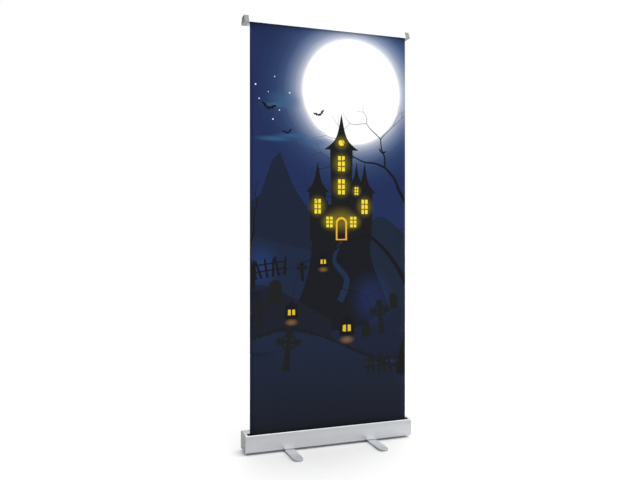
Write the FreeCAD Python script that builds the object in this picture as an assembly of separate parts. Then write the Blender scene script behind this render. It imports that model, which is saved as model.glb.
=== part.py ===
import FreeCAD, Part
import os
from math import cos, pi, radians, sin, sqrt

from FreeCAD import Vector

os.makedirs("parts", exist_ok=True)

# Roll-up banner stand, in millimetres. The origin is on the floor under the middle of the base.
# +X runs along the base to the banner's right edge, +Y points to the back, +Z is up.
# It stands as in use: banner drawn out, top rail on the pole's hook, feet swung out.

# Banner
banner_width = 850.0
banner_thickness = 0.45
rail_bottom_z = 2136.0
spare_turns = 4

# Base casing, an extrusion with a convex front, a domed top and a slot for the banner
floor_gap = 11.0
casing_margin = 13.5
casing_wall = 1.8
front_tuck = 6.0
front_corner = 5.0
rear_corner = 6.0
brow_set = 5.0
brow_round = 7.0
crown_rise = 4.0
shoulder_round = 9.0
slot_front_set = 8.0
slot_width = 26.0
slot_front_to_banner = 15.2
guide_thickness = 1.6
guide_depth = 12.0
guide_bead = 5.0
guide_bead_bite = 1.2

# Room in the casing around the full roll
room_below_roll = 2.5
room_above_roll = 16.7
room_before_socket = 2.0
room_behind_socket = 9.6

# End plates, their covers and screws
plate_thickness = 3.0
cover_depth = 13.0
cover_wall = 2.0
cover_edge_round = 2.0
cover_boss_diameter = 20.0
cover_boss_height = 0.8
port_diameter = 8.6
port_wall_overlap = 0.5
port_bore = 3.4
plate_screw_diameter = 3.3
plate_screw_head = 6.4
plate_screw_length = 14.0
cover_screw_diameter = 3.3
cover_screw_head = 8.0
cover_screw_grip = 6.0
cover_screw_cross = (0.9, 4.8)
screw_head_height = 2.4
screw_key = 2.5

# Roller and its fixed spindle
roller_diameter = 42.0
roller_wall = 1.5
roller_margin = 5.0
plug_flange = 3.0
plug_length = 30.0
bush_wall = 3.0
spindle_diameter = 12.0
spindle_hex = 9.0
spindle_reach = 330.0
idler_reach = 42.0
collar_diameter = 18.0
spring_wire = 1.8
spring_mean_diameter = 28.0
spring_pitch = 14.0
spring_hub_length = 14.0
anchor_length = 30.0
anchor_diameter = 33.6

# Swivel feet
foot_length = 422.0
foot_width = 51.0
folded_feet_gap = 28.0
foot_edge = 0.8
pad_diameter = 34.0
pad_proud = 1.0
pad_recess = 1.5
pad_end_gap = 8.0
pivot_diameter = 8.0
pivot_head_diameter = 17.0
pivot_head_height = 3.2
pivot_head_sunk = 1.0
pivot_head_gap = 0.5
pivot_key = 6.0
pivot_key_depth = 2.0
washer_thickness = 0.8
washer_diameter = 30.0
stiffener_size = 60.0
stiffener_thickness = 2.0
nut_flats = 13.0
nut_height = 5.0
bolt_end = 1.0

# Pole in three tubes, with its socket
pole_diameter = 16.0
pole_wall = 1.0
pole_joint_length = 60.0
ferrule_wall = 1.0
cord_diameter = 4.0
socket_wall = 1.5
socket_flange = 32.0
socket_flange_above = 0.4
plug_base = 3.0
plug_spigot = 30.0
hook_bearing = 19.0
hook_width = 14.0
hook_thickness = 8.0
head_spigot = 40.0
head_collar_height = 7.0
head_collar_rim = 1.0
stop_diameter = 8.0
stop_length = 6.0

# Top rail, a lid-shaped extrusion that hangs on the hook
rail_margin = 3.0
rail_front_overhang = 6.8
rail_rear_set = 11.6
rail_height = 36.5
rail_front_lean = 18.0
rail_rear_lean = 19.5
rail_wall = 1.6
rail_wall_foot = 1.9
rail_top_round = 2.5
rail_cap_length = 24.0
rail_cap_round = 1.5
rail_spigot = 15.0
rail_port_diameter = 8.0
rail_rear_port_height = 10.0
rail_front_port_set = 16.0
notch_clear = 9.0
notch_side_clear = 4.0
rail_screw_diameter = 3.3
rail_screw_head = 6.4
rail_screw_floor = 5.0
rail_screw_grip = 12.0
rail_screw_head_height = 2.2
grip_height = 5.5
clamp_height = 10.5
clamp_thickness = 3.0
clamp_screw_count = 5
clamp_screw_diameter = 2.6
clamp_screw_head = 5.0
clamp_screw_head_height = 1.8
clamp_lift = 1.0
clamp_room = 4.0

# Clearances: radial in a turning fit, between fixed parts, and under something that moves
running_fit = 0.05
seat_fit = 0.02
loose_fit = 0.2
soft_gap = 0.3

# How near two places are to count as one, and how long the bars are that outlines are rounded on
same_place = 1e-4
trial_length = 10.0

# Places worked out from the sizes above, from the floor up and from the front to the back
banner_end = banner_width / 2
casing_end = banner_end + casing_margin
roller_end = banner_end + roller_margin
rail_end = banner_end + rail_margin
casing_bottom = floor_gap
inside_floor = casing_bottom + casing_wall
stiffener_top = inside_floor + stiffener_thickness
nut_top = stiffener_top + nut_height
bolt_top = nut_top + bolt_end
rolled_radius = roller_diameter / 2 + spare_turns * banner_thickness
full_radius = sqrt(rolled_radius ** 2 + rail_bottom_z * banner_thickness / pi)
roller_axis_z = bolt_top + room_below_roll + full_radius
lip_z = roller_axis_z + full_radius + room_above_roll
casing_top = lip_z + crown_rise
socket_outer = pole_diameter + 2 * (running_fit + socket_wall)
front_to_axis = slot_front_set + slot_front_to_banner + banner_thickness + soft_gap + rolled_radius
axis_to_pole = full_radius + room_before_socket + socket_outer / 2
pole_to_rear = socket_outer / 2 + room_behind_socket + casing_wall
rear_y = (front_to_axis + axis_to_pole + pole_to_rear) / 2
front_y = -rear_y
slot_front_y = front_y + slot_front_set
slot_rear_y = slot_front_y + slot_width
banner_front_y = slot_front_y + slot_front_to_banner
banner_rear_y = banner_front_y + banner_thickness
roller_y = front_y + front_to_axis
pole_y = roller_y + axis_to_pole
foot_top = floor_gap - washer_thickness
foot_offset_x = (foot_length + folded_feet_gap) / 2
rail_top = rail_bottom_z + rail_height
rail_front_y = banner_front_y - rail_front_overhang
rail_rear_y = rear_y - rail_rear_set
notch_front_y = pole_y - pole_diameter / 2 - notch_clear
hook_reach = pole_diameter / 2 + notch_clear + hook_bearing
notch_half_width = hook_reach + notch_side_clear
web_bottom = rail_top - rail_wall
hook_top = web_bottom - soft_gap
spring_hub_diameter = spring_mean_diameter - spring_wire - 2 * running_fit


def yz(y, z):
    return Vector(0, y, z)


def outline(start, *steps):
    """Face in the YZ plane. A step is a corner, or a (via, end) pair for an arc."""
    edges = []
    here = yz(*start)
    for step in steps + (start,):
        if isinstance(step[0], tuple):
            via, there = yz(*step[0]), yz(*step[1])
            edges.append(Part.Arc(here, via, there).toShape())
        else:
            there = yz(*step)
            if here.distanceToPoint(there) < same_place:
                continue
            edges.append(Part.LineSegment(here, there).toShape())
        here = there
    return Part.Face(Part.Wire(edges))


def prism(face, x_start, x_end):
    moved = face.copy()
    moved.translate(Vector(x_start, 0, 0))
    return moved.extrude(Vector(x_end - x_start, 0, 0))


def redrawn(face):
    """The same outline in true lines and arcs, which an offset can follow."""
    edges = []
    for edge in face.OuterWire.OrderedEdges:
        here, there = edge.firstVertex(True).Point, edge.lastVertex(True).Point
        if isinstance(edge.Curve, Part.Line):
            edges.append(Part.LineSegment(here, there).toShape())
        else:
            via = edge.valueAt((edge.FirstParameter + edge.LastParameter) / 2)
            edges.append(Part.Arc(here, via, there).toShape())
    return Part.Face(Part.Wire(edges))


def rounded(face, corners):
    """Round corners of a YZ face. Each corner is (y, z, radius)."""
    bar = prism(face, 0, trial_length)
    for y, z, radius in corners:
        corner = yz(y, z)
        edges = [
            e
            for e in bar.Edges
            if all(yz(v.Y, v.Z).distanceToPoint(corner) < same_place for v in e.Vertexes)
        ]
        bar = bar.makeFillet(radius, edges)
    return redrawn([f for f in bar.Faces if all(abs(v.X) < same_place for v in f.Vertexes)][0])


def inset(face, distance):
    return face.makeOffset2D(-distance)


def block(x, y, z):
    """Box between the (low, high) pairs of each axis."""
    size = (x[1] - x[0], y[1] - y[0], z[1] - z[0])
    return Part.makeBox(*size, Vector(x[0], y[0], z[0]))


def rod_x(diameter, x_start, x_end, y, z):
    return Part.makeCylinder(diameter / 2, x_end - x_start, Vector(x_start, y, z), Vector(1, 0, 0))


def rod_y(diameter, x, y_start, y_end, z):
    return Part.makeCylinder(diameter / 2, y_end - y_start, Vector(x, y_start, z), Vector(0, 1, 0))


def rod_z(diameter, x, y, z_start, z_end):
    return Part.makeCylinder(diameter / 2, z_end - z_start, Vector(x, y, z_start))


def hexagon(flats, start, along):
    """Hexagonal prism from the point start, running by the vector along."""
    corners = []
    for i in range(7):
        turn = radians(60 * i + 30)
        u = flats / sqrt(3) * cos(turn)
        v = flats / sqrt(3) * sin(turn)
        side = Vector(0, u, v) if along.x else Vector(u, v, 0)
        corners.append(start + side)
    return Part.Face(Part.makePolygon(corners)).extrude(along)


def mirrored(shape):
    """The same piece for the other end of the stand."""
    return shape.mirror(Vector(0, 0, 0), Vector(1, 0, 0))


def fused(first, *others):
    return first.fuse(list(others)).removeSplitter()


def edges_at_x(shape, x):
    return [e for e in shape.Edges if all(abs(v.X - x) < same_place for v in e.Vertexes)]


def save(node, *solids):
    shape = solids[0] if len(solids) == 1 else Part.makeCompound(list(solids))
    shape.exportStep("parts/%s.step" % node)


# ---------------------------------------------------------------- casing

def casing_outline():
    toe = front_y + front_tuck
    brow = front_y + brow_set
    sharp = outline(
        (toe, casing_bottom),
        ((front_y, (casing_bottom + lip_z) / 2), (brow, lip_z)),
        (((brow + rear_y) / 2, casing_top), (rear_y, lip_z)),
        (rear_y, casing_bottom),
    )
    return rounded(
        sharp,
        [
            (toe, casing_bottom, front_corner),
            (brow, lip_z, brow_round),
            (rear_y, lip_z, shoulder_round),
            (rear_y, casing_bottom, rear_corner),
        ],
    )


def front_surface_y(face, z):
    """Where a horizontal line at height z enters the front of a YZ face."""
    line = Part.LineSegment(yz(2 * front_y, z), yz(0, z)).toShape()
    return line.common(face).BoundBox.YMin


def top_surface_z(face, y):
    """Where a vertical line leaves the top of a YZ face."""
    line = Part.LineSegment(yz(y, casing_bottom), yz(y, 2 * casing_top)).toShape()
    return line.common(face).BoundBox.ZMax


def port_places():
    """Screw ports against the casing's walls, clear of the full roll and the pole socket."""
    hug = port_diameter / 2 + casing_wall - port_wall_overlap
    low = casing_bottom + rear_corner + port_diameter
    high = lip_z - shoulder_round - port_diameter
    rear = rear_y - hug
    return [
        (front_y + front_tuck + front_corner + port_diameter, casing_bottom + hug),
        (front_surface_y(casing_face, high) + hug, high),
        (rear, low),
        (rear, high),
    ]


casing_face = casing_outline()
casing_outer = prism(casing_face, -casing_end, casing_end)
casing_inner_face = inset(casing_face, casing_wall)
hollow = prism(casing_inner_face, -casing_end, casing_end)
ports = [rod_x(port_diameter, -casing_end, casing_end, y, z) for y, z in port_places()]
port_bores = [rod_x(port_bore, -casing_end, casing_end, y, z) for y, z in port_places()]
slot_cut = block((-casing_end, casing_end), (slot_front_y, slot_rear_y), (lip_z - brow_round, casing_top))
socket_hole = rod_z(socket_outer + 2 * loose_fit, 0, pole_y, inside_floor, casing_top)
pivot_xs = (-foot_offset_x, foot_offset_x)
pivot_holes = [
    rod_z(pivot_diameter + 2 * loose_fit, x, 0, casing_bottom, inside_floor) for x in pivot_xs
]
casing = casing_outer.cut(hollow)
casing = fused(casing, *[port.common(casing_outer) for port in ports])
casing = casing.cut(port_bores + [slot_cut, socket_hole] + pivot_holes)
save("casing", casing)

# Plastic strips that line both edges of the slot, so that the print doesn't rub on metal
guide_outer = inset(casing_face, casing_wall + seat_fit)
guide_inner = inset(casing_face, casing_wall + seat_fit + guide_thickness)
guide_band = prism(guide_outer, -roller_end, roller_end).cut(
    prism(guide_inner, -roller_end, roller_end)
)
front_reach = block(
    (-roller_end, roller_end), (front_y, slot_front_y), (lip_z - guide_depth, casing_top)
)
rear_reach = block(
    (-roller_end, roller_end), (slot_rear_y, slot_rear_y + guide_depth), (lip_z - guide_depth, casing_top)
)
bead_y = slot_rear_y + guide_bead / 2
bead_z = top_surface_z(guide_inner, bead_y) + guide_bead_bite - guide_bead / 2
rear_bead = rod_x(guide_bead, -roller_end, roller_end, bead_y, bead_z)
save("slot_guide_front", guide_band.common(front_reach))
save("slot_guide_rear", fused(guide_band.common(rear_reach), rear_bead.cut(casing)))

# ---------------------------------------------------------------- end plates and covers

cover_end = casing_end + cover_depth
plate_end = casing_end + plate_thickness
plate_face = inset(casing_face, cover_wall + loose_fit)
screw_start = plate_end - plate_screw_length


def hex_hole(clearance):
    return hexagon(
        spindle_hex + 2 * clearance,
        Vector(casing_end, roller_y, roller_axis_z),
        Vector(plate_thickness, 0, 0),
    )


plate = prism(plate_face, casing_end, plate_end).cut(
    [hex_hole(running_fit)]
    + [rod_x(plate_screw_diameter + 2 * loose_fit, casing_end, plate_end, y, z) for y, z in port_places()]
)
save("end_plate_right", plate)
save("end_plate_left", mirrored(plate))

plate_screws = []
for y, z in port_places():
    shank = rod_x(plate_screw_diameter, screw_start, plate_end, y, z)
    head = rod_x(plate_screw_head, plate_end, plate_end + screw_head_height, y, z)
    half_head = Vector(plate_end + screw_head_height / 2, y, z)
    socket = hexagon(screw_key, half_head, Vector(screw_head_height / 2, 0, 0))
    plate_screws.append(fused(shank, head).cut(socket))
save("end_plate_screws", *plate_screws, *[mirrored(screw) for screw in plate_screws])

shell = prism(casing_face, casing_end, cover_end)
shell = shell.makeFillet(cover_edge_round, edges_at_x(shell, cover_end))
cavity = prism(inset(casing_face, cover_wall), casing_end, cover_end - cover_wall)
boss_end = cover_end + cover_boss_height
boss = rod_x(cover_boss_diameter, cover_end - cover_wall, boss_end, roller_y, roller_axis_z)
pillar = rod_x(spindle_diameter, plate_end + loose_fit, cover_end, roller_y, roller_axis_z)
screw_way = rod_x(
    cover_screw_diameter + 2 * loose_fit, plate_end, boss_end, roller_y, roller_axis_z
)
head_seat = rod_x(
    cover_screw_head + 2 * loose_fit, boss_end - screw_head_height, boss_end, roller_y, roller_axis_z
)
cover = fused(shell.cut(cavity), boss, pillar).cut([screw_way, head_seat])
save("end_cap_right", cover)
save("end_cap_left", mirrored(cover))

cover_screw_start = casing_end - cover_screw_grip
cover_screw = fused(
    rod_x(cover_screw_diameter, cover_screw_start, boss_end - screw_head_height, roller_y, roller_axis_z),
    rod_x(cover_screw_head, boss_end - screw_head_height, boss_end - loose_fit, roller_y, roller_axis_z),
)
for wide, tall in (cover_screw_cross, cover_screw_cross[::-1]):
    cover_screw = cover_screw.cut(
        block(
            (boss_end - screw_head_height / 2, boss_end),
            (roller_y - wide / 2, roller_y + wide / 2),
            (roller_axis_z - tall / 2, roller_axis_z + tall / 2),
        )
    )
save("cover_screws", cover_screw, mirrored(cover_screw))

# ---------------------------------------------------------------- spindle and idler axle

collar_start = roller_end + plug_flange + soft_gap


def axle(reach):
    """Fixed axle at the right end: hexagon in the plate, collar, and a round bearing length."""
    round_part = rod_x(spindle_diameter, roller_end - reach, casing_end, roller_y, roller_axis_z)
    collar = rod_x(collar_diameter, collar_start, casing_end, roller_y, roller_axis_z)
    tap = rod_x(
        cover_screw_diameter + 2 * seat_fit, cover_screw_start, plate_end, roller_y, roller_axis_z
    )
    return fused(round_part, collar, hex_hole(0)).cut(tap)


save("idler_axle", axle(idler_reach))
save("spring_spindle", mirrored(axle(spindle_reach)))

anchor_start = -(roller_end - spindle_reach) - anchor_length
anchor_end = anchor_start + anchor_length
anchor = fused(
    rod_x(anchor_diameter, anchor_start, anchor_end, roller_y, roller_axis_z),
    rod_x(spring_hub_diameter, anchor_start - spring_hub_length, anchor_start, roller_y, roller_axis_z),
)
anchor = anchor.cut(
    rod_x(
        spindle_diameter + 2 * seat_fit,
        anchor_start - spring_hub_length,
        anchor_end,
        roller_y,
        roller_axis_z,
    )
)
save("spring_anchor", anchor)

# ---------------------------------------------------------------- roller

tube_bore = roller_diameter - 2 * roller_wall
tube = rod_x(roller_diameter, -roller_end, roller_end, roller_y, roller_axis_z).cut(
    rod_x(tube_bore, -roller_end, roller_end, roller_y, roller_axis_z)
)
save("roller_tube", tube)

bush_bore = spindle_diameter + 2 * running_fit
bush_outer = bush_bore + 2 * bush_wall
plug_start = roller_end - plug_length
plug_end = roller_end + plug_flange
hub_start = plug_start - spring_hub_length
bush_hole = rod_x(bush_outer + 2 * seat_fit, hub_start, plug_end, roller_y, roller_axis_z)
plug_body = rod_x(tube_bore - 2 * seat_fit, plug_start, roller_end, roller_y, roller_axis_z)
flange = rod_x(roller_diameter, roller_end, plug_end, roller_y, roller_axis_z)
plain_plug = fused(plug_body, flange)
hub = rod_x(spring_hub_diameter, hub_start, plug_start, roller_y, roller_axis_z)
save("roller_plug_right", plain_plug.cut(bush_hole))
save("roller_plug_left", mirrored(fused(plain_plug, hub).cut(bush_hole)))

bush = rod_x(bush_outer, plug_start, plug_end, roller_y, roller_axis_z).cut(
    rod_x(bush_bore, plug_start, plug_end, roller_y, roller_axis_z)
)
save("roller_bushes", bush, mirrored(bush))

leader = rod_x(2 * rolled_radius, -banner_end, banner_end, roller_y, roller_axis_z).cut(
    rod_x(roller_diameter, -banner_end, banner_end, roller_y, roller_axis_z)
)
save("wound_leader", leader)

# Torsion spring, gripping the plug's hub at one end and the anchor's hub at the other
spring_start = -plug_start + spring_wire
spring_end = anchor_start - spring_wire
spring_radius = spring_mean_diameter / 2
helix = Part.makeHelix(spring_pitch, spring_end - spring_start, spring_radius)
wire_circle = Part.Wire(
    Part.Circle(Vector(spring_radius, 0, 0), Vector(0, 1, 0), spring_wire / 2).toShape()
)
spring = Part.Wire(helix.Edges).makePipeShell([wire_circle], True, True)
spring.rotate(Vector(0, 0, 0), Vector(0, 1, 0), 90)
spring.translate(Vector(spring_start, roller_y, roller_axis_z))
save("retraction_spring", spring)

# ---------------------------------------------------------------- banner

banner = block(
    (-banner_end, banner_end),
    (banner_front_y, banner_rear_y),
    (roller_axis_z, rail_bottom_z + grip_height),
)
save("banner_sheet", banner)

# ---------------------------------------------------------------- feet

foot_bottom = pad_proud
foot_middle = foot_length / 2 - foot_width / 2
pad_y = foot_length / 2 - pad_end_gap - pad_diameter / 2
head_bottom = foot_bottom + pivot_head_sunk
head_top = head_bottom + pivot_head_height


def foot_bar(x):
    bar = block(
        (x - foot_width / 2, x + foot_width / 2), (-foot_middle, foot_middle), (foot_bottom, foot_top)
    )
    ends = [rod_z(foot_width, x, y, foot_bottom, foot_top) for y in (-foot_middle, foot_middle)]
    bar = fused(bar, *ends)
    rims = [e for e in bar.Edges if all(abs(v.Z - foot_top) < same_place for v in e.Vertexes)]
    bar = bar.makeChamfer(foot_edge, rims)
    bore = rod_z(pivot_diameter + 2 * running_fit, x, 0, foot_bottom, foot_top)
    counterbore = rod_z(
        pivot_head_diameter + 2 * pivot_head_gap, x, 0, foot_bottom, head_top + loose_fit
    )
    seats = [
        rod_z(pad_diameter + 2 * loose_fit, x, y, foot_bottom, foot_bottom + pad_recess)
        for y in (-pad_y, pad_y)
    ]
    return bar.cut([bore, counterbore] + seats)


def foot_pads(x):
    return [rod_z(pad_diameter, x, y, 0, foot_bottom + pad_recess) for y in (-pad_y, pad_y)]


for side, x in (("left", -foot_offset_x), ("right", foot_offset_x)):
    save("foot_" + side, foot_bar(x))
    save("foot_pads_" + side, *foot_pads(x))

bolts = []
nuts = []
washers = []
stiffeners = []
for x in pivot_xs:
    bolt_head = rod_z(pivot_head_diameter, x, 0, head_bottom, head_top)
    key = hexagon(pivot_key, Vector(x, 0, head_bottom), Vector(0, 0, pivot_key_depth))
    bolts.append(fused(bolt_head, rod_z(pivot_diameter, x, 0, head_top, bolt_top)).cut(key))
    nut_hole = rod_z(pivot_diameter + 2 * seat_fit, x, 0, stiffener_top, nut_top)
    nuts.append(hexagon(nut_flats, Vector(x, 0, stiffener_top), Vector(0, 0, nut_height)).cut(nut_hole))
    washers.append(
        rod_z(washer_diameter, x, 0, foot_top, casing_bottom).cut(
            rod_z(pivot_diameter + 2 * loose_fit, x, 0, foot_top, casing_bottom)
        )
    )
    sheet = block(
        (x - stiffener_size / 2, x + stiffener_size / 2),
        (-stiffener_size / 2, stiffener_size / 2),
        (inside_floor, stiffener_top),
    )
    stiffeners.append(
        sheet.cut(rod_z(pivot_diameter + 2 * loose_fit, x, 0, inside_floor, stiffener_top))
    )
save("foot_pivot_bolts", *bolts)
save("foot_pivot_nuts", *nuts)
save("foot_washers", *washers)
save("foot_stiffeners", *stiffeners)

# ---------------------------------------------------------------- pole socket and pole

socket_bore = pole_diameter + 2 * running_fit
socket_floor = inside_floor + socket_wall
flange_top = casing_top + socket_flange_above
saddle = rod_z(socket_flange, 0, pole_y, casing_top - shoulder_round, flange_top).cut(casing_outer)
socket_tube = rod_z(socket_outer, 0, pole_y, inside_floor, flange_top)
socket = fused(socket_tube, saddle).cut(rod_z(socket_bore, 0, pole_y, socket_floor, flange_top))
save("pole_socket", socket)

pole_start = socket_floor + loose_fit + plug_base
head_base = hook_top - hook_thickness
pole_end = head_base - head_collar_height
section = (pole_end - pole_start) / 3
pole_bore = pole_diameter - 2 * pole_wall
for i, node in enumerate(("pole_lower", "pole_middle", "pole_upper")):
    low = pole_start + i * section
    high = low + section
    pipe = rod_z(pole_diameter, 0, pole_y, low, high).cut(rod_z(pole_bore, 0, pole_y, low, high))
    save(node, pipe)

ferrule_outer = pole_bore - 2 * running_fit
ferrule_bore = ferrule_outer - 2 * ferrule_wall
for i, node in enumerate(("ferrule_lower", "ferrule_upper")):
    middle = pole_start + (i + 1) * section
    low = middle - pole_joint_length
    high = middle + pole_joint_length
    ferrule = rod_z(ferrule_outer, 0, pole_y, low, high).cut(rod_z(ferrule_bore, 0, pole_y, low, high))
    save(node, ferrule)

cord_way = cord_diameter + 2 * loose_fit
spigot_diameter = pole_bore - 2 * seat_fit
spigot_top = pole_start + plug_spigot
foot_plug = fused(
    rod_z(pole_diameter, 0, pole_y, pole_start - plug_base, pole_start),
    rod_z(spigot_diameter, 0, pole_y, pole_start, spigot_top),
)
low_stop_room = rod_z(
    stop_diameter + 2 * loose_fit, 0, pole_y, pole_start - plug_base, pole_start + stop_length
)
save("pole_foot_plug", foot_plug.cut([rod_z(cord_way, 0, pole_y, pole_start, spigot_top), low_stop_room]))

spigot_bottom = pole_end - head_spigot
tip_y = pole_y - hook_reach + hook_width / 2
arm = block((-hook_width / 2, hook_width / 2), (tip_y, pole_y), (head_base, hook_top))
arm_ends = [
    rod_z(hook_width, 0, tip_y, head_base, hook_top),
    rod_z(pole_diameter, 0, pole_y, head_base, hook_top),
]
neck = rod_z(pole_diameter + 2 * head_collar_rim, 0, pole_y, pole_end, head_base)
head_pin = rod_z(spigot_diameter, 0, pole_y, spigot_bottom, pole_end)
head = fused(arm, *arm_ends, neck, head_pin)
high_stop_room = rod_z(stop_diameter + 2 * loose_fit, 0, pole_y, pole_end - stop_length, hook_top)
save("pole_head", head.cut([rod_z(cord_way, 0, pole_y, spigot_bottom, pole_end), high_stop_room]))

cord_low = pole_start
cord_high = pole_end
save("elastic_cord", rod_z(cord_diameter, 0, pole_y, cord_low, cord_high))
stops = []
for low in (cord_low - plug_base + loose_fit, cord_high - stop_length + loose_fit):
    stops.append(
        rod_z(stop_diameter, 0, pole_y, low, low + stop_length).cut(
            rod_z(cord_diameter + 2 * seat_fit, 0, pole_y, low, low + stop_length)
        )
    )
save("cord_stops", *stops)

# ---------------------------------------------------------------- top rail


def rail_outline():
    top_front = rail_front_y + rail_front_lean
    top_rear = rail_rear_y - rail_rear_lean
    sharp = outline(
        (rail_front_y, rail_bottom_z),
        (top_front, rail_top),
        (top_rear, rail_top),
        (rail_rear_y, rail_bottom_z),
    )
    return rounded(
        sharp, [(top_front, rail_top, rail_top_round), (top_rear, rail_top, rail_top_round)]
    )


def rail_rear_at(z):
    return rail_rear_y - rail_rear_lean * (z - rail_bottom_z) / rail_height


rail_face = rail_outline()
rail_outer = prism(rail_face, -rail_end, rail_end)
rail_ends_x = (-rail_end, rail_end)
rail_inner = prism(inset(rail_face, rail_wall), -rail_end, rail_end)
open_bottom = block(
    rail_ends_x,
    (rail_front_y + rail_wall_foot, rail_rear_y - rail_wall_foot),
    (rail_bottom_z, rail_bottom_z + rail_wall),
)
rail_hug = rail_port_diameter / 2 + rail_wall - port_wall_overlap
rear_port_z = rail_bottom_z + rail_rear_port_height
rail_ports = [
    (banner_rear_y + clamp_thickness + rail_front_port_set, rail_top - rail_hug),
    (rail_rear_at(rear_port_z) - rail_hug, rear_port_z),
]
port_rods = [rod_x(rail_port_diameter, -rail_end, rail_end, y, z) for y, z in rail_ports]
rail_bores = [rod_x(port_bore, -rail_end, rail_end, y, z) for y, z in rail_ports]
clamp_top = rail_bottom_z + clamp_height
web_front = banner_front_y - rail_wall
clamp_web = block(rail_ends_x, (web_front, banner_front_y), (rail_bottom_z + clamp_lift, clamp_top))
notch = block(
    (-notch_half_width, notch_half_width), (notch_front_y, rail_rear_y), (rail_bottom_z, rail_top)
)
clamp_screw_z = (rail_bottom_z + grip_height + clamp_top) / 2
clamp_screw_xs = [
    banner_width * ((i + 0.5) / clamp_screw_count - 0.5) for i in range(clamp_screw_count)
]
screw_holes = [
    rod_y(clamp_screw_diameter + 2 * seat_fit, x, web_front, banner_front_y, clamp_screw_z)
    for x in clamp_screw_xs
]
rail_body = rail_outer.cut(rail_inner).cut(open_bottom)
rail_body = fused(rail_body, *[rod.common(rail_outer) for rod in port_rods], clamp_web.common(rail_outer))
rail_body = rail_body.cut(rail_bores + screw_holes + [notch])
save("top_rail", rail_body)

clamp_front_y = banner_rear_y + seat_fit
clamp_rear_y = clamp_front_y + clamp_thickness
clamp_bar = block(
    (-banner_end, banner_end), (clamp_front_y, clamp_rear_y), (rail_bottom_z + clamp_lift, clamp_top)
)
clamp_bar = clamp_bar.cut(
    [
        rod_y(clamp_screw_diameter + 2 * loose_fit, x, clamp_front_y, clamp_rear_y, clamp_screw_z)
        for x in clamp_screw_xs
    ]
)
save("clamp_bar", clamp_bar)
clamp_screws = []
for x in clamp_screw_xs:
    clamp_shank = rod_y(clamp_screw_diameter, x, web_front, clamp_rear_y, clamp_screw_z)
    head_rear_y = clamp_rear_y + clamp_screw_head_height
    clamp_head = rod_y(clamp_screw_head, x, clamp_rear_y, head_rear_y, clamp_screw_z)
    clamp_screws.append(fused(clamp_shank, clamp_head))
save("clamp_bar_screws", *clamp_screws)

cap_end = rail_end + rail_cap_length
cap_body = prism(rail_face, rail_end, cap_end)
cap_body = cap_body.makeFillet(rail_cap_round, edges_at_x(cap_body, cap_end))
spigot_start = rail_end - rail_spigot
spigot_reach = block(
    (spigot_start, rail_end),
    (clamp_rear_y + clamp_room, rail_rear_y),
    (clamp_top, rail_top),
)
spigot = prism(inset(rail_face, rail_wall + loose_fit), spigot_start, rail_end).common(spigot_reach)
port_room = [
    rod_x(rail_port_diameter + 2 * loose_fit, spigot_start, rail_end, y, z) for y, z in rail_ports
]
cap_ways = []
rail_screws = []
seat_x = rail_end + rail_screw_floor
for y, z in rail_ports:
    cap_ways.append(rod_x(rail_screw_diameter + 2 * loose_fit, rail_end, cap_end, y, z))
    cap_ways.append(rod_x(rail_screw_head + 2 * loose_fit, seat_x, cap_end, y, z))
    rail_shank = rod_x(rail_screw_diameter, rail_end - rail_screw_grip, seat_x, y, z)
    rail_head = rod_x(rail_screw_head, seat_x, seat_x + rail_screw_head_height, y, z)
    rail_screws.append(fused(rail_shank, rail_head))
cap = fused(cap_body, spigot.cut(port_room)).cut(cap_ways)
save("rail_cap_right", cap)
save("rail_cap_left", mirrored(cap))
save("rail_cap_screws", *rail_screws, *[mirrored(screw) for screw in rail_screws])

print("casing depth %.2f, top %.2f, bottom %.2f" % (2 * rear_y, casing_top, casing_bottom))
print("roller axis y %.3f z %.3f, rolled radius %.3f" % (roller_y, roller_axis_z, rolled_radius))
print("banner radius on the roller %.4f" % (rolled_radius + soft_gap + banner_thickness / 2))
print("pole axis y %.3f, socket floor z %.3f" % (pole_y, socket_floor))
print("foot axis x %.3f, top z %.3f, pad centre y %.3f" % (foot_offset_x, foot_top, pad_y))
print("rail can come down %.2f" % (rail_bottom_z - casing_top))
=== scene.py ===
from math import cos, hypot, pi, radians, sin
from random import Random

import bpy
import numpy as np
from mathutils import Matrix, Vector
from mathutils.geometry import delaunay_2d_cdt


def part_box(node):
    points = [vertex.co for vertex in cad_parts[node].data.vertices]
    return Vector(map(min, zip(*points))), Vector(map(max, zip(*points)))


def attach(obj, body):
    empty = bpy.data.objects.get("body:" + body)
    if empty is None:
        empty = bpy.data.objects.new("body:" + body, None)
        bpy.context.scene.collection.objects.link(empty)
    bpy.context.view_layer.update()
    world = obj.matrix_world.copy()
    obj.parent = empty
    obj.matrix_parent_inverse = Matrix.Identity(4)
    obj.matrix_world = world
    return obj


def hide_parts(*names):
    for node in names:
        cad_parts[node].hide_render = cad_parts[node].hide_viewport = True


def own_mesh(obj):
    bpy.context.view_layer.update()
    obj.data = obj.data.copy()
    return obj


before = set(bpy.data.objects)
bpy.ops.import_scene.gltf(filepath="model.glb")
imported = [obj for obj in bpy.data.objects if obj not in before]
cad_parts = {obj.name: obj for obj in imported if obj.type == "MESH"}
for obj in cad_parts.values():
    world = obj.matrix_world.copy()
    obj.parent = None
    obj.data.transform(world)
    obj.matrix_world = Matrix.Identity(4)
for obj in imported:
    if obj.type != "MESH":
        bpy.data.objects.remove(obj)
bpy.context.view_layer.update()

millimetre = 0.001


# Casing: one length of aluminium extrusion, 1.8 mm thick, with screw ports in its corners and a slot
# along its top. It is satin anodised, so its gloss is soft and drawn out along faint die lines.
def tone(code):
    """Linear colour of an sRGB hex value."""
    shares = [int(code[i:i + 2], 16) / 255 for i in (1, 3, 5)]
    return (*[s / 12.92 if s <= 0.04045 else ((s + 0.055) / 1.055) ** 2.4 for s in shares], 1.0)


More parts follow.
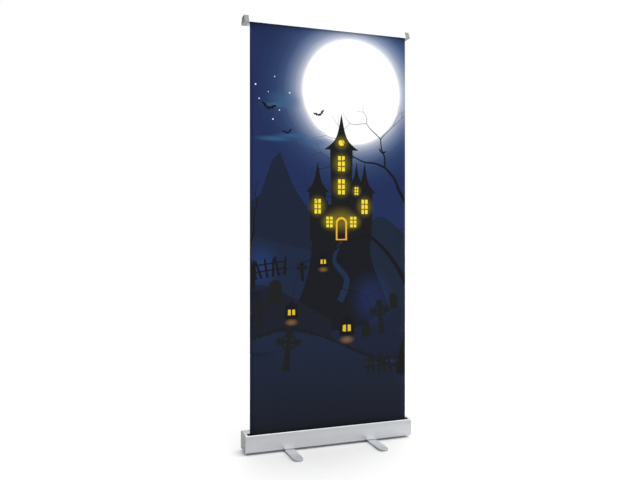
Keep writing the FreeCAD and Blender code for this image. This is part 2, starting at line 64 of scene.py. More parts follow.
def add(tree, kind, feeds=None, **settings):
    """A new node. Settings are its properties, and feeds its inputs' values or what drives them."""
    made = tree.nodes.new("ShaderNode" + kind)
    for name, value in settings.items():
        setattr(made, name, value)
    for name, value in (feeds or {}).items():
        if isinstance(value, bpy.types.NodeSocket):
            tree.links.new(value, made.inputs[name])
        else:
            made.inputs[name].default_value = value
    return made


def start_finish(name, sockets):
    """A new material with its shader's constant sockets set: returns it, its node tree and the shader."""
    made = bpy.data.materials.new(name)
    made.use_nodes = True
    shader = made.node_tree.nodes["Principled BSDF"]
    for socket, value in sockets.items():
        shader.inputs[socket].default_value = value
    return made, made.node_tree, shader


def speckle(tree, size, stretch=(1, 1, 1), detail=2.0):
    """Noise from 0 to 1 with grains of that size in metres, along each axis longer by stretch."""
    place = add(tree, "TexCoord").outputs["Object"]
    scaled = add(tree, "VectorMath", {0: place, 1: [1 / (size * s) for s in stretch]}, operation="MULTIPLY")
    feeds = {"Vector": scaled.outputs[0], "Scale": 1.0, "Detail": detail}
    return add(tree, "TexNoise", feeds).outputs["Fac"]


def spread(tree, factor, low, high):
    """The factor's middle half laid over the values from low to high."""
    feeds = {"Value": factor, "From Min": 0.25, "From Max": 0.75, "To Min": low, "To Max": high}
    return add(tree, "MapRange", feeds).outputs["Result"]


def between(tree, factor, first, second):
    """The colour that lies by factor between two sRGB hex values."""
    feeds = {"Factor": factor, "A": tone(first), "B": tone(second)}
    return add(tree, "Mix", feeds, data_type="RGBA").outputs["Result"]


def raise_grain(tree, shader, height, depth):
    """Relief that is depth metres deep where height goes from 0 to 1."""
    bump = add(tree, "Bump", {"Height": height, "Strength": 1.0, "Distance": depth})
    tree.links.new(bump.outputs["Normal"], shader.inputs["Normal"])


def give(finish, *nodes):
    """The finish on every slot of these parts."""
    for node in nodes:
        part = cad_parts[node]
        if not part.material_slots:
            part.data.materials.append(finish)
        for held in part.material_slots:
            held.link = "OBJECT"
            held.material = finish


def anodised(name, dull, bright, roughness, lines_along):
    """Satin anodised aluminium: colour and roughness vary along die lines that run by lines_along."""
    die_line = 4.0 * millimetre  # really about 0.3 mm, drawn wider so that it shows
    finish, tree, shader = start_finish(name, {"Metallic": 1.0})
    lines = speckle(tree, die_line, lines_along, detail=4.0)
    tree.links.new(between(tree, lines, dull, bright), shader.inputs["Base Color"])
    tree.links.new(spread(tree, lines, roughness - 0.03, roughness + 0.03), shader.inputs["Roughness"])
    raise_grain(tree, shader, lines, 0.01 * millimetre)
    return finish


along_x, along_y, along_z = (400, 1, 1), (1, 400, 1), (1, 1, 400)
give(anodised("anodised_extrusion", "#C3C5C8", "#CFD1D4", 0.40, along_x), "casing")


# Slot guides: black PVC strips pushed over both edges of the slot, so that the film doesn't rub on
# metal. They are extruded, semi-matt, with a faint haze.
def moulded(name, dark, light, roughness, grain):
    """Moulded or extruded plastic: IOR 1.5, an even colour with a slight cloud, and a fine spark grain."""
    finish, tree, shader = start_finish(name, {"IOR": 1.5})
    cloud = speckle(tree, 30 * millimetre)
    fine = speckle(tree, grain)
    tree.links.new(between(tree, cloud, dark, light), shader.inputs["Base Color"])
    tree.links.new(spread(tree, fine, roughness - 0.05, roughness + 0.05), shader.inputs["Roughness"])
    raise_grain(tree, shader, fine, 0.02 * millimetre)
    return finish


black_pvc = moulded("black_pvc", "#0B0B0C", "#121213", 0.45, 1.0 * millimetre)
give(black_pvc, "slot_guide_front", "slot_guide_rear")


# End plates: pressed steel, 3 mm, with a hexagon hole that keeps the spindle from turning. They are
# zinc plated, which leaves a bluish, slightly mottled sheen, and so are all the screws, bolts and nuts.
def plated(name, dull, bright, roughness):
    """Zinc plate on steel: a metal with spangle of a few millimetres and fine scratches in its gloss."""
    finish, tree, shader = start_finish(name, {"Metallic": 1.0})
    spangle = speckle(tree, 6 * millimetre)
    scratch = speckle(tree, 0.6 * millimetre, (6, 1, 1))
    tree.links.new(between(tree, spangle, dull, bright), shader.inputs["Base Color"])
    tree.links.new(spread(tree, scratch, roughness - 0.06, roughness + 0.06), shader.inputs["Roughness"])
    raise_grain(tree, shader, scratch, 0.01 * millimetre)
    return finish


zinc = plated("zinc_plated_plate", "#A3A6AA", "#B6B9BD", 0.35)
zinc_small = plated("zinc_plated_screws", "#A9ABAE", "#BDBFC2", 0.28)
give(zinc, "end_plate_left", "end_plate_right")
give(zinc_small, "end_plate_screws", "cover_screws")


# End covers: ABS mouldings with the casing's own profile, held by one screw each at the roller's axis.
# Their rims have a metallised coat that matches the casing, and their outer faces are plain grey.
cover_finish, tree, shader = start_finish("metallised_abs", {"IOR": 1.5})
facing = add(tree, "SeparateXYZ", {0: add(tree, "NewGeometry").outputs["Normal"]}).outputs["X"]
sideways = add(tree, "Math", {0: facing}, operation="ABSOLUTE").outputs[0]
feeds = {"Value": sideways, "From Min": 0.75, "From Max": 0.9, "To Min": 1.0, "To Max": 0.0}
coated = add(tree, "MapRange", feeds).outputs["Result"]
plain = between(tree, speckle(tree, 30 * millimetre), "#98989A", "#A0A0A0")
fine = speckle(tree, 0.8 * millimetre)
feeds = {"Factor": coated, "A": plain, "B": tone("#C9CBCE")}
tree.links.new(add(tree, "Mix", feeds, data_type="RGBA").outputs["Result"], shader.inputs["Base Color"])
tree.links.new(coated, shader.inputs["Metallic"])
tree.links.new(spread(tree, fine, 0.42, 0.5), shader.inputs["Roughness"])
raise_grain(tree, shader, fine, 0.02 * millimetre)
give(cover_finish, "end_cap_left", "end_cap_right")


# Spindle, idler axle and spring: steel rods fixed in the end plates. The spring is oiled steel wire,
# nearly black, wound round the spindle inside the roller. Hub, plugs and bushes are natural nylon.
oiled_wire = plated("oiled_spring_wire", "#3C3D40", "#4A4B4E", 0.3)
nylon = moulded("natural_nylon", "#D9D8D0", "#E2E1DA", 0.4, 1.5 * millimetre)
give(zinc, "idler_axle", "spring_spindle")
give(oiled_wire, "retraction_spring")
give(nylon, "spring_anchor", "roller_plug_left", "roller_plug_right", "roller_bushes", "foot_washers")


# Roller tube: drawn aluminium, 42 mm, left as it comes from the mill, so it is duller than the casing.
give(anodised("mill_aluminium", "#A8AAAD", "#B5B7B9", 0.45, along_x), "roller_tube")


# Printed sheet: matt polyester film, 0.45 mm, printed on its front and grey on its back. Some of it stays
# on the roller, and a strip of tape doubles it below the rail. The print is a night scene, drawn here
# from outlines in millimetres: x across from the middle, z up from the floor.
sheet_low, sheet_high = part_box("banner_sheet")
film = sheet_high.y - sheet_low.y
left_edge, right_edge = sheet_low.x / millimetre, sheet_high.x / millimetre
foot_line, head_line = sheet_low.z / millimetre, sheet_high.z / millimetre
prints = []


def draw(ink, outline):
    """One inked region. The sheet's edges crop it, and it covers the regions drawn before it."""
    cropped = []
    for x, z in outline:
        place = (min(max(x, left_edge), right_edge), min(max(z, foot_line), head_line))
        if place not in cropped[-1:] + cropped[:1]:
            cropped.append(place)
    if len(cropped) > 2:
        prints.append((ink, cropped))


def turned(outline, x, z, degrees, size=1.0):
    """An outline about (0, 0), scaled, turned anticlockwise and moved to (x, z)."""
    c, s = cos(radians(degrees)) * size, sin(radians(degrees)) * size
    return [(x + c * u - s * v, z + s * u + c * v) for u, v in outline]


def curve(points, steps=5):
    """A smooth line through the points."""
    ends = [points[0], *points, points[-1]]
    line = []
    for a, b, c, d in zip(ends, ends[1:], ends[2:], ends[3:]):
        for i in range(steps):
            t = i / steps
            weights = (
                (-t ** 3 + 2 * t ** 2 - t) / 2,
                (3 * t ** 3 - 5 * t ** 2 + 2) / 2,
                (-3 * t ** 3 + 4 * t ** 2 + t) / 2,
                (t ** 3 - t ** 2) / 2,
            )
            line.append(tuple(sum(w * p[k] for w, p in zip(weights, (a, b, c, d))) for k in (0, 1)))
    return line + [points[-1]]


def stroke(ink, points, first_width, last_width):
    """A curved line that narrows from one width to the other."""
    line = curve(points)
    left, right = [], []
    for i, (x, z) in enumerate(line):
        before, after = line[max(i - 1, 0)], line[min(i + 1, len(line) - 1)]
        along = hypot(after[0] - before[0], after[1] - before[1])
        half = (first_width + (last_width - first_width) * i / (len(line) - 1)) / 2
        u, v = (before[1] - after[1]) / along * half, (after[0] - before[0]) / along * half
        left.append((x + u, z + v))
        right.append((x - u, z - v))
    draw(ink, left + right[::-1])


def ground(ink, crest, roughness, chance):
    """Everything below a crest line, with blades of grass along it that are up to roughness tall."""
    line = curve(crest, steps=18)
    edge = []
    for i, (x, z) in enumerate(line):
        blade = roughness * chance.random() if i % 2 else 0
        edge.append((x + blade * chance.uniform(-0.3, 0.3), z + blade))
    draw(ink, edge + [(right_edge, foot_line), (left_edge, foot_line)])


def bough(ink, x, z, heading, length, width, chance):
    """A bare branch that forks until it is thin."""
    points = [(x, z)]
    for i in range(3):
        heading += chance.uniform(-22, 22)
        x += cos(radians(heading)) * length / 3
        z += sin(radians(heading)) * length / 3
        points.append((x, z))
    stroke(ink, points, width, width * 0.55)
    if width > 2.2:
        fork = chance.uniform(24, 42)
        bough(ink, x, z, heading + fork, length * chance.uniform(0.6, 0.85), width * 0.55, chance)
        bough(ink, x, z, heading - fork * 0.8, length * chance.uniform(0.55, 0.8), width * 0.5, chance)


def panes(ink, x, z, wide, tall, columns, rows, degrees):
    """A lit window of small panes with bars between them."""
    gap = wide * 0.07
    w, h = wide / columns, tall / rows
    for i in range(columns):
        for j in range(rows):
            u, v = i * w - wide / 2, j * h
            near, far, sill, head = u + gap, u + w - gap, v + gap, v + h - gap
            draw(ink, turned([(near, sill), (far, sill), (far, head), (near, head)], x, z, degrees))


def tower(ink, x, z, wide, tall, roof, eaves, lean):
    """A tower that widens upwards, under a steep roof that sweeps out to its eaves."""
    half, top = wide / 2, z + tall
    side = [(x - half, z), (x - half - lean, top), (x + half + lean, top), (x + half, z)]
    draw(ink, side)
    left = curve([(x - half - eaves, top - 8), (x - half * 0.55, top + roof * 0.3), (x, top + roof)])
    right = curve([(x, top + roof), (x + half * 0.55, top + roof * 0.3), (x + half + eaves, top - 8)])
    draw(ink, left + right[1:])


def round_of(x, z, radius, across=1.0, count=28):
    """A circle, or an ellipse that is across times as wide as tall."""
    return [
        (x + radius * across * cos(2 * pi * i / count), z + radius * sin(2 * pi * i / count))
        for i in range(count)
    ]


def round_headed(ink, x, z, wide, tall, degrees):
    """A headstone or a doorway: upright sides under a half circle."""
    half = wide / 2
    arch = [(half * cos(pi * i / 12), tall - half + half * sin(pi * i / 12)) for i in range(13)]
    draw(ink, turned([(half, 0), *arch, (-half, 0)], x, z, degrees))


def grave_cross(ink, x, z, tall, degrees):
    """A cross that flares at its ends, with a ring round its middle."""
    upright = [(-0.10, 0), (-0.055, 0.62), (-0.09, 1), (0.09, 1), (0.055, 0.62), (0.10, 0)]
    arms = [
        (-0.3, 0.60), (-0.3, 0.78), (-0.05, 0.72), (0.05, 0.72),
        (0.3, 0.78), (0.3, 0.60), (0.05, 0.66), (-0.05, 0.66),
    ]
    draw(ink, turned(upright, x, z, degrees, tall))
    draw(ink, turned(arms, x, z, degrees, tall))
    middle, bore = 0.69, 0.75
    outer = round_of(0, middle, 0.20)
    inner = [(u * bore, middle + (v - middle) * bore) for u, v in outer]
    draw(ink, turned(outer + outer[:1] + inner[:1] + inner[::-1], x, z, degrees, tall))


def fence(ink, x, z, span, height, pickets, degrees, chance):
    """A fence of two rails and crooked pickets."""
    for share in (0.35, 0.72):
        under, over = height * share, height * (share + 0.08)
        draw(ink, turned([(0, under), (span, under), (span, over), (0, over)], x, z, degrees))
    for i in range(pickets):
        picket = [(-7, 0), (-6, height), (0, height + 14), (6, height), (7, 0)]
        foot_x, foot_z = turned([(span * (i + 0.5) / pickets, 0)], x, z, degrees)[0]
        lean = degrees + chance.uniform(-14, 14)
        draw(ink, turned(picket, foot_x, foot_z, lean, chance.uniform(0.85, 1.05)))


def bat(ink, x, z, span, degrees):
    """A bat with scalloped wings: one wing's outline from the back to the belly, and its mirror image."""
    wing = [
        (0, 0.03), (0.03, 0.11), (0.08, 0.03), (0.22, 0.20), (0.5, 0.30), (0.45, 0.10),
        (0.36, 0.12), (0.30, -0.05), (0.20, 0.01), (0.10, -0.16), (0, -0.08),
    ]
    both = wing + [(-u, v) for u, v in wing[-2:0:-1]]
    draw(ink, turned(both, x, z, degrees, span))


def lantern(x, z, size):
    """A candle lantern: a dark body under a pointed roof, with two lit panes."""
    body = [
        (-0.5, 0), (-0.62, 0.12), (-0.5, 1), (-0.62, 1.06), (0, 1.5),
        (0.62, 1.06), (0.5, 1), (0.62, 0.12), (0.5, 0),
    ]
    draw("#1A1A1E", turned(body, x, z, 0, size))
    for side in (-1, 1):
        pane = [(side * 0.07, 0.32), (side * 0.07, 0.82), (side * 0.31, 0.80), (side * 0.33, 0.34)]
        draw("#E2C02C", turned(pane, x, z, 0, size))


night = Random(11)
far_rock, far_valley, far_slope, mid_hill = "#20273A", "#212B42", "#212A3C", "#20263A"
wood, stone, wall_ink, bark, near_hill = "#1C1E24", "#212222", "#1D1E20", "#1C1C1E", "#20222E"
turf, grass, path_ink, lit, lit_door = "#212A40", "#1E2026", "#22304A", "#F7DC3A", "#F2B22A"

# A far peak, and the valley behind the house
peak = [(-425, 1240), (-370, 1290), (-310, 1460), (-270, 1500), (-200, 1330), (-120, 1210), (-40, 1120)]
draw(far_rock, peak + [(-40, 800), (-425, 800)])
draw(far_valley, curve([(-425, 1090), (-260, 1040), (-100, 1000)]) + [(-60, 660), (-425, 660)])
draw(far_slope, curve([(180, 1120), (290, 1180), (425, 1080)]) + [(425, 560), (0, 560), (60, 760)])

# The house on its round hill: a hall with battlements, a middle tower, a turret and two side towers
house_x, hall_foot, hall_top, hall_half = 60, 1050, 1240, 140
left_side = curve([(-240, 620), (-150, 800), (-110, 950), (-100, hall_foot + 20)])
right_side = curve([(220, hall_foot + 20), (230, 950), (290, 800), (360, 620)])
draw(wood, left_side + right_side + [(360, 500), (-240, 500)])
hall = [(-hall_half, hall_foot), (-hall_half, hall_top), (hall_half, hall_top), (hall_half, hall_foot)]
draw(wall_ink, turned(hall, house_x, 0, 0))
merlon = [(0, -2), (0, 20), (24, 20), (24, -2)]
for i in range(7):
    draw(wall_ink, turned(merlon, house_x - hall_half + 42 * i, hall_top, 0))
tower(wall_ink, house_x, hall_top - 10, 110, 300, 180, 40, 8)
tower(wall_ink, house_x + 84, hall_top - 10, 52, 120, 110, 16, 4)
for side in (-1, 1):
    tower(wall_ink, house_x + side * (hall_half - 10), hall_foot, 80, 260, 150, 24, 6)
windows = (
    (house_x, 1410, 44, 84), (house_x, 1290, 44, 84),
    (house_x - 130, 1190, 40, 80), (house_x + 130, 1190, 40, 80),
    (house_x - 66, 1120, 40, 60), (house_x + 66, 1120, 40, 60),
    (house_x + 84, 1290, 24, 44),
)
for x, z, wide, tall in windows:
    panes(lit, x, z, wide, tall, 2, 3, 0)
attic_z = 1560
draw(lit, round_of(house_x, attic_z, 16))
round_headed(lit_door, house_x, hall_foot + 6, 62, 120, 0)
round_headed(wall_ink, house_x, hall_foot + 12, 44, 102, 0)
stroke(path_ink, [(house_x, hall_foot), (20, 950), (90, 850), (50, 740)], 14, 40)

# Middle ground with its graves and lanterns
draw(near_hill, curve([(-425, 840), (-300, 820), (-160, 740), (0, 650)]) + [(0, 500), (-425, 500)])
draw(mid_hill, curve([(425, 700), (280, 660), (140, 600), (0, 590)]) + [(0, 420), (425, 420)])
fence(bark, -410, 860, 180, 90, 6, 8, night)
headstones = ((-300, 740, 64, 120, -4), (360, 690, 44, 84, 4), (200, 550, 50, 80, 3))
for x, z, wide, tall, degrees in headstones:
    round_headed(stone, x, z, wide, tall, degrees)
grave_cross(bark, -150, 850, 96, 4)
grave_cross(stone, -370, 620, 140, 4)
grave_cross(stone, 290, 560, 180, 6)
lanterns = ((-40, 920, 46), (-210, 660, 58), (90, 560, 70))
for x, z, size in lanterns:
    lantern(x, z, size)

# Near slope with its grassy crest, and what stands on it
crest = [(-425, 570), (-250, 610), (-50, 570), (150, 480), (300, 410), (425, 380)]
ground(grass, crest, 30, night)
ground(turf, [(x, z - 14) for x, z in crest], 10, night)
grave_cross(stone, -240, 400, 210, -6)
fence(stone, 190, 350, 240, 100, 7, 3, night)

# Bare trees: a small one behind the graves, and large ones at the right in front of the house
trees = (
    (-410, 820, 85, 230, 24), (395, 340, 96, 420, 44),
    (430, 820, 118, 340, 26), (432, 1250, 112, 230, 20),
)
for x, z, heading, length, width in trees:
    bough(bark, x, z, heading, length, width, night)

# Bats, and a few stars at the left
bats = ((-60, 1700, 60, 20), (-330, 1720, 76, -12), (-230, 1600, 52, 15), (290, 1520, 46, -20))
for x, z, span, degrees in bats:
    bat("#17181C", x, z, span, degrees)
for i in range(7):
    x, z, radius = night.uniform(-410, -150), night.uniform(1650, 1900), night.uniform(2.5, 4.5)
    draw("#E6ECF5", round_of(x, z, radius, count=8))


# Where the sheet hangs in depth: flat at its top and in the slot, and between them it sways and its
# edges curl forward a little. The flat top is longer than what the rail holds of it when it is down.
flat_top = 280
slot_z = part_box("casing")[1].z
free_height = sheet_high.z - flat_top * millimetre - slot_z
edge_curl, sway = 1.4 * millimetre, 0.25 * millimetre


def hang(x, z):
    """How far the film stands from its flat plane, in metres, forward being negative."""
    free = sin(pi * min(max((z - slot_z) / free_height, 0), 1)) ** 0.5
    return -free * (edge_curl * abs(x / sheet_high.x) ** 4 + sway * (1 + sin(9 * z + 4 * x)))


corners = [(left_edge, foot_line), (right_edge, foot_line), (right_edge, head_line), (left_edge, head_line)]
column_gap, row_gap = 25, 50
rows = int((head_line - flat_top - foot_line) / row_gap) + 1  # the flat top needs no inner points
spots = [
    (left_edge + column_gap * i, foot_line + row_gap * j)
    for i in range(round((right_edge - left_edge) / column_gap) + 1)
    for j in range(1, rows + 1)
]
points, lines = [Vector(p) for p in corners + spots], []
for ink, outline in prints:
    first, last = len(points), len(points) + len(outline) - 1
    lines += [(i, i + 1) for i in range(first, last)] + [(last, first)]
    points += [Vector(p) for p in outline]
flat_points, _, triangles, *_ = delaunay_2d_cdt(points, lines, [], 0, 0.01, False)

# Each face's ink is that of the last region around its middle. Its opacity is 0 for bare sky, 0.5 for
# what the haze veils and 1 for what stands in front of the haze.
middles = np.array([
    sum((flat_points[v] for v in face), Vector((0, 0))) / len(face) for face in triangles
])
inks = np.zeros((len(triangles), 4))
for ink, outline in prints:
    turns = np.zeros(len(middles), int)
    for (x, z), (next_x, next_z) in zip(outline, outline[1:] + outline[:1]):
        side = (next_x - x) * (middles[:, 1] - z) - (middles[:, 0] - x) * (next_z - z)
        turns += (z <= middles[:, 1]) & (middles[:, 1] < next_z) & (side > 0)
        turns -= (next_z <= middles[:, 1]) & (middles[:, 1] < z) & (side < 0)
    inks[turns != 0] = (*tone(ink)[:3], 1.0 if ink in (stone, bark) else 0.5)


def film_mesh(name, places, faces, inks, thickness):
    """A film whose front has these places and faces, with its printed inks, closed by its back and rim."""
    count = len(places)
    corners_of = [list(face) for face in faces]
    edges = {}
    for face in corners_of:
        for a, b in zip(face, face[1:] + face[:1]):
            edges[(a, b)] = edges.get((a, b), 0) + 1
    rim = [(a, b) for a, b in edges if (b, a) not in edges]
    solid = corners_of + [[v + count for v in face[::-1]] for face in corners_of]
    solid += [[b, a, a + count, b + count] for a, b in rim]
    back = [(x, y + thickness, z) for x, y, z in places]
    mesh = bpy.data.meshes.new(name)
    mesh.from_pydata([*places, *back], [], solid)
    mesh.uv_layers.new(name="print")
    mesh.color_attributes.new("ink", "FLOAT_COLOR", "CORNER")
    flat_map, inked = mesh.uv_layers["print"], mesh.color_attributes["ink"]
    for polygon in mesh.polygons:
        front = polygon.index < len(faces)
        polygon.material_index = 0 if front else 1
        polygon.use_smooth = front
        colour = inks[polygon.index] if front else (0, 0, 0, 0)
        for corner in polygon.loop_indices:
            place = mesh.vertices[mesh.loops[corner].vertex_index].co
            flat_map.data[corner].uv = (place.x, place.z)
            inked.data[corner].color = colour
    piece = bpy.data.objects.new(name, mesh)
    bpy.context.scene.collection.objects.link(piece)
    return piece


def facing_front(face):
    """The face with its corners anticlockwise, as seen from the front."""
    a, b, c = [flat_points[v] for v in face[:3]]
    return face if (b - a).cross(c - b) > 0 else face[::-1]


places = [
    (p.x * millimetre, sheet_low.y + hang(p.x * millimetre, p.y * millimetre), p.y * millimetre)
    for p in flat_points
]
banner = film_mesh("printed_sheet", places, [facing_front(f) for f in triangles], inks, film)

# The print: sky and moon, soft mist, the inked outlines, and the light that lamps and windows throw
matt_film, tree, shader = start_finish(
    "printed_film", {"IOR": 1.5, "Roughness": 0.55, "Specular IOR Level": 0.03}
)
spot_map = add(tree, "UVMap", uv_map="print").outputs["UV"]
moon_x, moon_z, moon_radius, halo = 0.121, 1.826, 0.2715, 0.24


def how_near(x, z, reach_x, reach_z):
    """1 at (x, z), falling smoothly to 0 at the reach."""
    feeds = {0: spot_map, 1: (1 / reach_x, 1 / reach_z, 0), 2: (-x / reach_x, -z / reach_z, 0)}
    scaled = add(tree, "VectorMath", feeds, operation="MULTIPLY_ADD").outputs[0]
    away = add(tree, "VectorMath", {0: scaled}, operation="LENGTH").outputs["Value"]
    feeds = {"Value": away, "From Min": 0.0, "From Max": 1.0, "To Min": 1.0, "To Max": 0.0}
    return add(tree, "MapRange", feeds, interpolation_type="SMOOTHERSTEP").outputs["Result"]


feeds = {0: spot_map, 1: (moon_x, moon_z, 0)}
from_moon = add(tree, "VectorMath", feeds, operation="DISTANCE").outputs["Value"]
feeds = {"Value": from_moon, "From Min": moon_radius - 0.004, "From Max": moon_radius + halo}
beyond_moon = add(tree, "MapRange", feeds).outputs["Result"]
sky_ramp = add(tree, "ValToRGB", {"Fac": beyond_moon})
sky_tones = (
    (0.0, "#FFFFFF"), (0.012, "#FFFFFF"), (0.03, "#DADDE6"), (0.09, "#B0B6C6"), (0.2, "#808CA6"),
    (0.32, "#5C6C8E"), (0.45, "#3D4F75"), (0.6, "#2F4068"), (0.8, "#27375F"), (1.0, "#253159"),
)
stops = sky_ramp.color_ramp.elements
for stop, (place, code) in zip(stops, (sky_tones[0], sky_tones[-1])):
    stop.color = tone(code)
for place, code in sky_tones[1:-1]:
    stops.new(place).color = tone(code)
colour = sky_ramp.outputs["Color"]
mists = (
    (-0.25, 1.765, 0.13, 0.075, "#3E6286", 0.5), (-0.30, 1.735, 0.10, 0.02, "#41698C", 0.5),
    (-0.22, 1.750, 0.09, 0.05, "#44698C", 0.3), (-0.30, 1.566, 0.14, 0.022, "#37618A", 0.75),
    (-0.20, 1.585, 0.14, 0.02, "#37618A", 0.7), (-0.08, 1.558, 0.16, 0.035, "#37618A", 0.5),
)
for x, z, reach_x, reach_z, code, strength in mists:
    near = how_near(x, z, reach_x, reach_z)
    share = add(tree, "Math", {0: near, 1: strength}, operation="MULTIPLY").outputs[0]
    feeds = {"Factor": share, "A": colour, "B": tone(code)}
    colour = add(tree, "Mix", feeds, data_type="RGBA").outputs["Result"]
inked = add(tree, "Attribute", attribute_name="ink", attribute_type="GEOMETRY")
opaque = add(tree, "MapRange", {"Value": inked.outputs["Alpha"], "From Max": 0.5}).outputs["Result"]
feeds = {"Value": inked.outputs["Alpha"], "From Min": 0.5, "To Min": 1.0, "To Max": 0.0}
veiled = add(tree, "MapRange", feeds).outputs["Result"]
feeds = {"Factor": opaque, "A": colour, "B": inked.outputs["Color"]}
colour = add(tree, "Mix", feeds, data_type="RGBA").outputs["Result"]
unveiled = None
gleams = [
    (x, z + tall / 2, 1.6 * wide, 0.95 * tall, "#B8A626", 0.32, unveiled) for x, z, wide, tall in windows
]
gleams += [
    (house_x, attic_z, 55, 55, "#B8A626", 0.30, unveiled),
    (house_x, 1160, 120, 90, "#C8B428", 0.26, unveiled),
]
gleams += [
    (x, z - 0.3 * size, 0.8 * size, 0.42 * size, "#A87A20", 0.45, unveiled) for x, z, size in lanterns
]
gleams += [
    (230, 750, 170, 190, "#14285C", 0.6, veiled),
    (-370, 930, 130, 150, "#173A78", 0.45, veiled),
]
for x, z, reach_x, reach_z, code, strength, only_on in gleams:
    near = how_near(x * millimetre, z * millimetre, reach_x * millimetre, reach_z * millimetre)
    share = add(tree, "Math", {0: near, 1: strength}, operation="MULTIPLY").outputs[0]
    if only_on is not None:
        share = add(tree, "Math", {0: share, 1: only_on}, operation="MULTIPLY").outputs[0]
    feeds = {"Factor": share, "A": colour, "B": tone(code)}
    colour = add(tree, "Mix", feeds, data_type="RGBA", blend_type="SCREEN").outputs["Result"]
height = add(tree, "SeparateXYZ", {0: spot_map}).outputs["Y"]
feeds = {"Value": height, "From Min": 0.12, "From Max": 0.56, "To Min": 0.72, "To Max": 0.0}
darkening = add(tree, "MapRange", feeds).outputs["Result"]
feeds = {"Factor": darkening, "A": colour, "B": tone("#1F1F21")}
colour = add(tree, "Mix", feeds, data_type="RGBA").outputs["Result"]
tree.links.new(colour, shader.inputs["Base Color"])
raise_grain(tree, shader, speckle(tree, 3 * millimetre), 0.01 * millimetre)

grey_back, tree, shader = start_finish("blockout_film_back", {"IOR": 1.5, "Roughness": 0.6})
cloud = speckle(tree, 12 * millimetre)
tree.links.new(between(tree, cloud, "#C9CBCD", "#D3D4D6"), shader.inputs["Base Color"])
raise_grain(tree, shader, speckle(tree, 1.5 * millimetre), 0.01 * millimetre)
for finish in (matt_film, grey_back):
    banner.data.materials.append(finish)
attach(banner, "base")
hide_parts("banner_sheet")
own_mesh(banner)

# The strip of tape on the film's back just below the clamp bar, which goes with the rail
tape_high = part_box("top_rail")[0].z
tape_low = tape_high - 40 * millimetre
tape_y = sheet_high.y + 0.02 * millimetre
tape_places = [
    (sheet_low.x, tape_y, tape_low), (sheet_high.x, tape_y, tape_low),
    (sheet_high.x, tape_y, tape_high), (sheet_low.x, tape_y, tape_high),
]
tape = film_mesh("edge_tape", tape_places, [[0, 1, 2, 3]], [(0, 0, 0, 0)], 0.2 * millimetre)
for finish in (matt_film, grey_back):
    tape.data.materials.append(finish)
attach(tape, "rail")

# The film that stays on the roller, one spiral from the tube outwards
tube_low, tube_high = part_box("roller_tube")
core = (tube_high.z - tube_low.z) / 2
axis_y, axis_z = (tube_low.y + tube_high.y) / 2, (tube_low.z + tube_high.z) / 2
turns, facets = 3, 48
wound = []
for i in range(turns * facets + 1):
    angle = 2 * pi * i / facets
    radius = core + film * (0.05 + i / facets)
    wound.append((radius * cos(angle), radius * sin(angle)))
skin = 0.9 * film
count = len(wound)
spiral_places = []
for x in (sheet_low.x, sheet_high.x):
    for y, z in wound:
        spiral_places.append((x, axis_y + y, axis_z + z))
    for y, z in wound:
        grow = 1 + skin / hypot(y, z)
        spiral_places.append((x, axis_y + y * grow, axis_z + z * grow))
inner_a, outer_a, inner_b, outer_b = 0, count, 2 * count, 3 * count
spiral_faces = []
for i in range(count - 1):
    spiral_faces.append([outer_a + i, outer_b + i, outer_b + i + 1, outer_a + i + 1])
    spiral_faces.append([inner_a + i, inner_a + i + 1, inner_b + i + 1, inner_b + i])
    spiral_faces.append([inner_a + i, outer_a + i, outer_a + i + 1, inner_a + i + 1])
    spiral_faces.append([inner_b + i, inner_b + i + 1, outer_b + i + 1, outer_b + i])
for i in (0, count - 1):
    end = [inner_a + i, inner_b + i, outer_b + i, outer_a + i]
    spiral_faces.append(end if i == 0 else end[::-1])
spiral_mesh = bpy.data.meshes.new("film_on_roller")
spiral_mesh.from_pydata(spiral_places, [], spiral_faces)
spiral_mesh.shade_smooth()
spiral_mesh.materials.append(grey_back)
spiral = bpy.data.objects.new("film_on_roller", spiral_mesh)
bpy.context.scene.collection.objects.link(spiral)
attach(spiral, "roller")
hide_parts("wound_leader")


# Feet: flat aluminium bars with round ends that swivel under the casing on one bolt each. Brightened and
# matt anodised, with rubber pads let in underneath and steel stiffeners inside; their edges get painted
# shade.
foot_finish, tree, shader = start_finish("anodised_feet", {"Metallic": 1.0})
lines = speckle(tree, 4.0 * millimetre, along_y, detail=4.0)
facing = add(tree, "SeparateXYZ", {0: add(tree, "NewGeometry").outputs["Normal"]}).outputs["Z"]
upright = add(tree, "Math", {0: facing}, operation="ABSOLUTE").outputs[0]
# Painted shade: faces that don't face up or down take the darker #ACAFB3, flat faces the bright metal.
flat_faces_vs_painted_shade = add(tree, "MapRange", {"Value": upright, "From Min": 0.5, "From Max": 0.9}).outputs["Result"]
feeds = {"Factor": flat_faces_vs_painted_shade, "A": tone("#ACAFB3"), "B": between(tree, lines, "#EFF1F6", "#F5F7FB")}
tree.links.new(add(tree, "Mix", feeds, data_type="RGBA").outputs["Result"], shader.inputs["Base Color"])
tree.links.new(spread(tree, lines, 0.52, 0.58), shader.inputs["Roughness"])
raise_grain(tree, shader, lines, 0.01 * millimetre)
give(foot_finish, "foot_left", "foot_right")
rubber = moulded("black_rubber", "#101011", "#18181A", 0.8, 0.9 * millimetre)
give(rubber, "foot_pads_left", "foot_pads_right")
give(zinc_small, "foot_pivot_bolts", "foot_pivot_nuts")
give(zinc, "foot_stiffeners")


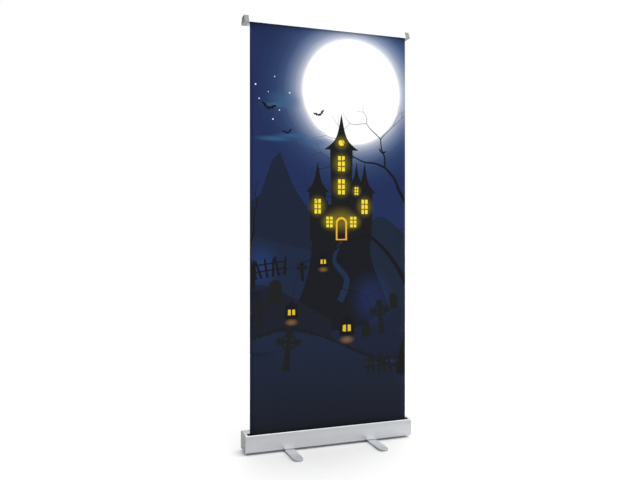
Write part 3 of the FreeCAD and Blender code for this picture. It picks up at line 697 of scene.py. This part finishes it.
# Pole: three anodised aluminium tubes, 16 mm, that join on ferrules over an elastic cord, and stand in
# a black ABS socket in the casing. Its head, foot plug and hook are black ABS too.
black_abs = moulded("black_abs", "#141415", "#1B1B1C", 0.42, 0.8 * millimetre)
anodised_tube = anodised("anodised_tube", "#B9BBBE", "#C4C6C9", 0.35, along_z)
give(anodised_tube, "pole_lower", "pole_middle", "pole_upper", "ferrule_lower", "ferrule_upper")
give(black_abs, "pole_socket", "pole_foot_plug", "pole_head")
give(zinc_small, "cord_stops")
braid, tree, shader = start_finish("braided_sleeve", {"IOR": 1.5, "Roughness": 0.85})
strand = 1.2 * millimetre
feeds = {"Vector": add(tree, "TexCoord").outputs["Object"], "Scale": 1 / strand, "Distortion": 2.0}
weave = add(tree, "TexWave", feeds, bands_direction="Z").outputs["Fac"]
tree.links.new(between(tree, weave, "#0C0C0D", "#1C1C1E"), shader.inputs["Base Color"])
raise_grain(tree, shader, weave, 0.2 * millimetre)
give(braid, "elastic_cord")


# Top rail: a lid-shaped aluminium extrusion, powder coated white, with a bar inside that clamps the
# film by five screws. The coat has a faint orange-peel. Its end caps are mouldings like the covers.
powder, tree, shader = start_finish("white_powder_coat", {"IOR": 1.5})
peel = speckle(tree, 1.5 * millimetre)
cloud = speckle(tree, 40 * millimetre)
tree.links.new(between(tree, cloud, "#DEDFE1", "#E3E4E6"), shader.inputs["Base Color"])
tree.links.new(spread(tree, peel, 0.35, 0.42), shader.inputs["Roughness"])
raise_grain(tree, shader, peel, 0.02 * millimetre)
give(powder, "top_rail")
give(anodised("anodised_bar", "#B9BBBE", "#C4C6C9", 0.4, along_x), "clamp_bar")
give(zinc_small, "clamp_bar_screws", "rail_cap_screws")
grey_abs = moulded("grey_abs", "#828282", "#898989", 0.5, 0.8 * millimetre)
give(grey_abs, "rail_cap_left", "rail_cap_right")


# Studio: a pale floor that runs out of sight under a white room, whose light grows with height and
# towards the right. One large soft box hangs overhead. The camera stands at the left.
floor_mesh = bpy.data.meshes.new("studio_floor")
reach = 40.0
floor_corners = [(-reach, -reach, 0), (reach, -reach, 0), (reach, reach, 0), (-reach, reach, 0)]
floor_mesh.from_pydata(floor_corners, [], [[0, 1, 2, 3]])
floor = bpy.data.objects.new("studio_floor", floor_mesh)
bpy.context.scene.collection.objects.link(floor)
paint, tree, shader = start_finish("white_floor_paint", {"Roughness": 0.7, "Specular IOR Level": 0.3})
tree.links.new(between(tree, speckle(tree, 0.3), "#F8F8F8", "#FBFBFB"), shader.inputs["Base Color"])
floor_mesh.materials.append(paint)

room = bpy.data.worlds.new("white_room")
room.use_nodes = True
tree = room.node_tree
tree.nodes.clear()
level, growth = 0.10, (0.90, 0.0, 1.50)
direction = add(tree, "TexCoord").outputs["Generated"]
feeds = {0: direction, 1: growth}
lit_by = add(tree, "VectorMath", feeds, operation="DOT_PRODUCT").outputs["Value"]
around = add(tree, "Math", {0: lit_by, 1: level}, operation="ADD").outputs[0]
seen = add(tree, "LightPath").outputs["Is Camera Ray"]
strength = add(tree, "Math", {0: around, 1: seen}, operation="MAXIMUM").outputs[0]
light = add(tree, "Background", {"Color": tone("#FFFFFF"), "Strength": strength})
add(tree, "OutputWorld", {"Surface": light.outputs[0]})
bpy.context.scene.world = room

lamp = bpy.data.lights.new("overhead_box", "AREA")
lamp.shape, lamp.size, lamp.energy = "SQUARE", 3.0, 43
overhead = bpy.data.objects.new("overhead_box", lamp)
overhead.location = (0.3, -1.0, 4.5)
bpy.context.scene.collection.objects.link(overhead)

lens = bpy.data.cameras.new("camera")
lens.sensor_width, lens.lens = 36.0, 37.07
lens.shift_y = -0.0153
camera = bpy.data.objects.new("camera", lens)
camera.location = (-1.176, -3.2136, 1.1075)
camera.rotation_euler = (radians(90), 0, radians(-19.36))
bpy.context.scene.collection.objects.link(camera)
bpy.context.scene.camera = camera
bpy.context.scene.view_settings.view_transform = "Standard"
